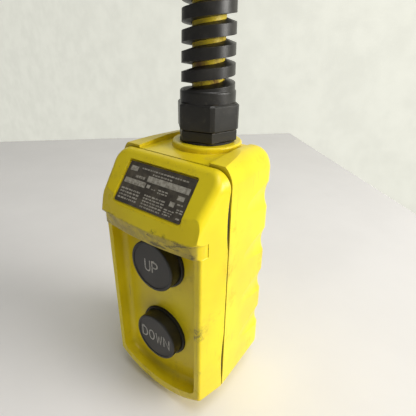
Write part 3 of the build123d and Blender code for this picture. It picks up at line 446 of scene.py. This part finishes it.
def lay_strokes(shape, strokes, width, origin, across, rise, lift):
    """Flat strokes on a plane through origin, raised by lift along its normal."""
    normal = across.cross(rise)
    for stroke in strokes:
        pairs = [
            [shape.verts.new(origin + across * p.x + rise * p.y + normal * lift) for p in pair]
            for pair in ribbon([Vector(p) * MM for p in stroke], width)
        ]
        for (a, b), (c, d) in zip(pairs, pairs[1:]):
            shape.faces.new((a, b, d, c))


def arc(centre_x, centre_y, radius_x, radius_y, start, end, steps=10):
    """Points of an elliptical arc between two angles in degrees."""
    angles = [math.radians(start + (end - start) * i / steps) for i in range(steps + 1)]
    return [(centre_x + radius_x * math.cos(a), centre_y + radius_y * math.sin(a)) for a in angles]


# single-stroke capitals in a cell 4 wide and 7 high, in mm, from the lower left corner
LETTERS = {
    "U": [[(0, 7), *arc(1.8, 1.8, 1.8, 1.8, 180, 360), (3.6, 7)]],
    "P": [[(0, 0), (0, 7), (1.9, 7), *arc(1.9, 5.2, 2.0, 1.8, 90, -90), (0, 3.4)]],
    "D": [[(0, 0), (0, 7), (1.6, 7), *arc(1.6, 3.5, 2.4, 3.5, 90, -90), (0, 0)]],
    "O": [arc(2.0, 3.5, 2.0, 3.5, 90, 450, 20)],
    "W": [[(0, 7), (1.2, 0), (2.3, 5.4), (3.4, 0), (4.6, 7)]],
    "N": [[(0, 0), (0, 7), (4.0, 0), (4.0, 7)]],
}
LETTER_WIDTHS = {"U": 3.6, "P": 4.0, "D": 4.0, "O": 4.0, "W": 4.6, "N": 4.0}
LETTER_HIGH = 7.0
LETTER_GAP = 1.7
STROKE = 0.85 * MM
PRINT_LIFT = 0.03 * MM  # letters and print stand this far off their face
FACE_TOLERANCE = 0.05 * MM


def add_word(word, disc, body):
    """Engraved capitals in the middle of a legend disc."""
    low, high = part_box(disc)
    middle = Vector(((low[0] + high[0]) / 2, low[1], (low[2] + high[2]) / 2))
    total = sum(LETTER_WIDTHS[letter] for letter in word) + LETTER_GAP * (len(word) - 1)

    def build(shape):
        left = -total / 2
        for letter in word:
            strokes = [[(x + left, y - LETTER_HIGH / 2) for x, y in stroke] for stroke in LETTERS[letter]]
            lay_strokes(shape, strokes, STROKE, middle, Vector((1, 0, 0)), Vector((0, 0, 1)), PRINT_LIFT)
            left += LETTER_WIDTHS[letter] + LETTER_GAP

    add_mesh(f"word_{word.lower()}", build, engraving_paint, body)


engraving_paint = engraving()
add_word("UP", "up_legend_disc", "up_button")
add_word("DOWN", "down_legend_disc", "down_button")

# solid fields of the label, in mm from its middle: left, right, foot and head
LABEL_FIELDS = (
    (-6.6, 21.0, 2.9, 6.0),
    (-21.2, -6.3, -0.7, 2.1),
    (-20.6, -15.4, 6.4, 9.0),
    (15.6, 19.8, -0.9, 1.3),
    (12.6, 15.6, -4.9, -2.5),
    (-5.2, -3.0, -0.2, 1.6),
)
# blocks of print lines: left, right, foot, head and number of lines
LABEL_TEXT = (
    (-13.0, 19.0, 8.5, 10.0, 1),
    (-4.4, 9.4, 6.7, 8.2, 1),
    (-15.0, -8.0, 3.3, 6.0, 1),
    (2.8, 9.2, -1.1, 1.6, 2),
    (-1.8, 1.6, -0.4, 0.8, 1),
    (-21.0, -7.0, -9.4, -2.6, 4),
    (-4.2, 9.8, -10.2, -2.8, 5),
    (17.0, 21.5, -3.2, -1.9, 1),
    (18.0, 21.8, -6.8, -4.4, 2),
    (10.8, 17.0, -9.8, -6.2, 3),
    (19.4, 21.8, -9.8, -8.2, 1),
)
PRINT_SEED = 7
PRINT_HEIGHT = 0.5  # share of the line pitch
WORD_WIDTHS = (0.7, 2.4)  # mm
WORD_GAPS = (0.35, 0.6)  # mm


def add_label_print():
    """Fields and unreadable lines of print on the label plate."""
    plate = nodes["label_plate"].data
    face = max((p for p in plate.polygons if p.normal.y < -0.3), key=lambda p: p.area)
    normal = face.normal.normalized()
    across = Vector((1, 0, 0))
    rise = normal.cross(across)
    corners = [
        vertex.co
        for vertex in plate.vertices
        if abs((vertex.co - face.center).dot(normal)) < FACE_TOLERANCE
    ]
    middle = sum(corners, Vector()) / len(corners)
    dice = random.Random(PRINT_SEED)

    def box(shape, left, right, foot, head):
        points = ((left, foot), (right, foot), (right, head), (left, head))
        places = [middle + (across * x + rise * y) * MM + normal * PRINT_LIFT for x, y in points]
        shape.faces.new([shape.verts.new(place) for place in places])

    def build(shape):
        for left, right, foot, head in LABEL_FIELDS:
            box(shape, left, right, foot, head)
        for left, right, foot, head, lines in LABEL_TEXT:
            pitch = (head - foot) / lines
            for line in range(lines):
                x = left
                base = foot + line * pitch
                while x < right - 1:
                    word = min(dice.uniform(*WORD_WIDTHS), right - x)
                    box(shape, x, x + word, base, base + PRINT_HEIGHT * pitch)
                    x += word + dice.uniform(*WORD_GAPS)

    add_mesh("label_print", build, label_print(), "station")


add_label_print()

SPRING_WIRE_RADIUS = 0.5 * MM
SPRING_TURNS = 5
SPRING_STEPS = 28  # points in each turn


def add_spring(button):
    """Coil of round wire behind a cap; the mesh keeps one length and does not shorten as the button goes
    in.
    """
    node = f"{button}_return_spring"
    low, high = (Vector(corner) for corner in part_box(node))
    wire = SPRING_WIRE_RADIUS
    radius = (high.x - low.x) / 2 - wire
    middle = (low + high) / 2
    turns, steps = SPRING_TURNS, SPRING_STEPS
    curve = bpy.data.curves.new(f"{node}_line", "CURVE")
    curve.dimensions = "3D"
    curve.bevel_depth = wire
    curve.bevel_resolution = 3
    coil = curve.splines.new("POLY")
    coil.points.add(turns * steps)
    for i, point in enumerate(coil.points):
        angle = 2 * math.pi * i / steps
        y = low.y + wire + (high.y - low.y - 2 * wire) * i / (turns * steps)
        point.co = (middle.x + radius * math.cos(angle), y, middle.z + radius * math.sin(angle), 1.0)
    line = bpy.data.objects.new(f"{node}_line", curve)
    scene.collection.objects.link(line)
    bpy.context.view_layer.update()
    mesh = bpy.data.meshes.new_from_object(line)
    bpy.data.objects.remove(line)
    mesh.name = f"{button}_spring_coil"
    mesh.materials.clear()
    mesh.materials.append(finishes["spring_steel"])
    spring = bpy.data.objects.new(f"{button}_spring_coil", mesh)
    scene.collection.objects.link(spring)
    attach(spring, "station")
    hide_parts(node)
    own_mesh(spring)


for button in ("up", "down"):
    add_spring(button)


# ---------------------------------------------------------------- floor, backdrop and light
TABLE_CLEARANCE = 3 * MM  # below the housing, which hangs on its cord
TABLE_CORNERS = ((-1.4, -1.6), (1.0, -1.6), (1.0, -0.5), (-0.24, 0.67), (-1.4, -0.62))
WALL_Y = 1.6
WALL_EDGES = (-7.0, 3.0, -1.6, 2.4)  # left, right, foot and head
WALL_GLOW = 0.85
SKY_COLOUR = (0.93, 0.95, 0.96, 1.0)
SKY_STRENGTH = 0.17
# name, place, size, watts and colour; each is aimed at the middle of the back box
LIGHTS = (
    ("key_light", (1.15, 0.32, 0.18), 0.7, 15.0, (1.0, 0.98, 0.94)),
    ("top_light", (0.45, -0.10, 1.10), 0.9, 9.0, (1.0, 0.99, 0.97)),
)


def plain(name, colour, rough, variation, glow=0.0):
    """Even paint with a faint cloudiness; glow stands in for a wall lit by its own lamps."""
    s = Shader(name)
    cloud = s.spread(s.noise(9.0, 5.0, 0.6), 0.3, 0.7)
    base = s.mix(cloud, colour, [variation * value for value in colour])
    height = s.noise(200.0, 3.0)
    return s.finish(base, rough, height, 0.02 * MM, Emission_Color=base, Emission_Strength=glow)


def add_stage():
    """White table below the pendant, and a pale wall behind it whose paint also glows, painted light
    standing in for lamps on the wall.
    """
    table_height = cad_low[2] - TABLE_CLEARANCE
    mesh = bpy.data.meshes.new("table_top")
    mesh.from_pydata([(x, y, table_height) for x, y in TABLE_CORNERS], [], [range(len(TABLE_CORNERS))])
    mesh.materials.append(plain("table_paint", (0.83, 0.81, 0.80), 0.5, 0.96))
    table = bpy.data.objects.new("table_top", mesh)
    wall_mesh = bpy.data.meshes.new("wall")
    left, right, foot, head = WALL_EDGES
    wall_corners = ((left, foot), (right, foot), (right, head), (left, head))
    wall_mesh.from_pydata([(x, WALL_Y, z) for x, z in wall_corners], [], [(0, 1, 2, 3)])
    # the wall's colour also glows: painted light for a wall lit by its own lamps
    wall_mesh.materials.append(plain("wall_paint_and_glow", (0.70, 0.70, 0.62), 0.8, 0.93, WALL_GLOW))
    wall = bpy.data.objects.new("wall", wall_mesh)
    for item in (table, wall):
        scene.collection.objects.link(item)


def add_area_light(name, spot, target, size, power, colour):
    data = bpy.data.lights.new(name, "AREA")
    data.shape = "DISK"
    data.size = size
    data.energy = power
    data.color = colour
    light = bpy.data.objects.new(name, data)
    light.location = spot
    light.rotation_euler = (Vector(target) - Vector(spot)).to_track_quat("-Z", "Y").to_euler()
    scene.collection.objects.link(light)


add_stage()
middle = tuple(centre("back_box"))
for name, spot, size, power, colour in LIGHTS:
    add_area_light(name, spot, middle, size, power, colour)

world = bpy.data.worlds.new("soft_sky")
world.use_nodes = True
sky = world.node_tree.nodes["Background"]
sky.inputs["Color"].default_value = SKY_COLOUR
sky.inputs["Strength"].default_value = SKY_STRENGTH
scene.world = world
scene.view_settings.view_transform = "Standard"
